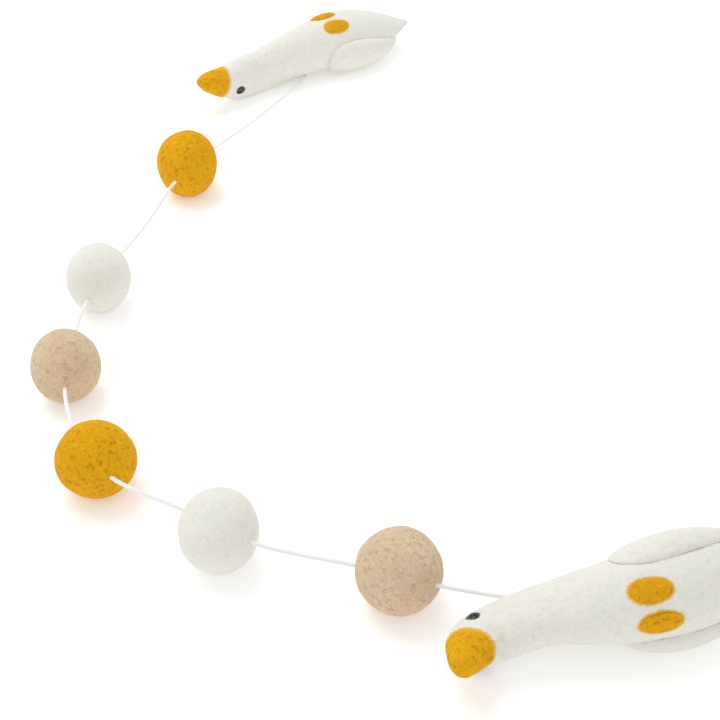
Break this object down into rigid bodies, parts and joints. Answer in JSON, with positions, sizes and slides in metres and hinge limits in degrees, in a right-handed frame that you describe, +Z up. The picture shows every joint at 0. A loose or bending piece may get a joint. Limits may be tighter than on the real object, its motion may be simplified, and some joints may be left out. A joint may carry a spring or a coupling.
{
  "type": "felt goose garland",
  "caption": "Needle-felted wool geese and felt balls in mustard, white and beige, strung on a white cotton string and laid in a curve.",
  "frame": {"origin": "centre of the flat spot under the fourth ball, on the surface that the garland lies on", "axes": "+Z up from the surface, +Y towards the far goose, +X to the right, towards the near goose"},
  "size_m": [0.2656, 0.4018, 0.0307],
  "materials": {
    "mustard_wool": "matte felted wool with short curly fibres",
    "white_wool": "matte smooth felted wool",
    "beige_wool": "matte felted wool with short curly fibres",
    "black_wool": "matte felted wool",
    "cotton_string": "matte twisted cotton"
  },
  "bodies": {
    "root": {"ball_1": "mustard_wool", "ball_2": "white_wool", "ball_3": "beige_wool", "ball_4": "mustard_wool", "ball_5": "white_wool", "ball_6": "beige_wool", "goose_a_body": "white_wool", "goose_a_beak": "mustard_wool", "goose_a_wing_left": "white_wool", "goose_a_wing_right": "white_wool", "goose_a_foot_left": "mustard_wool", "goose_a_foot_right": "mustard_wool", "goose_a_eye_left": "black_wool", "goose_a_eye_right": "black_wool", "goose_b_body": "white_wool", "goose_b_beak": "mustard_wool", "goose_b_wing_left": "white_wool", "goose_b_wing_right": "white_wool", "goose_b_foot_left": "mustard_wool", "goose_b_foot_right": "mustard_wool", "goose_b_eye_left": "black_wool", "goose_b_eye_right": "black_wool", "string": "cotton_string", "knot_a": "cotton_string", "knot_b": "cotton_string"}
  },
  "joints": []
}
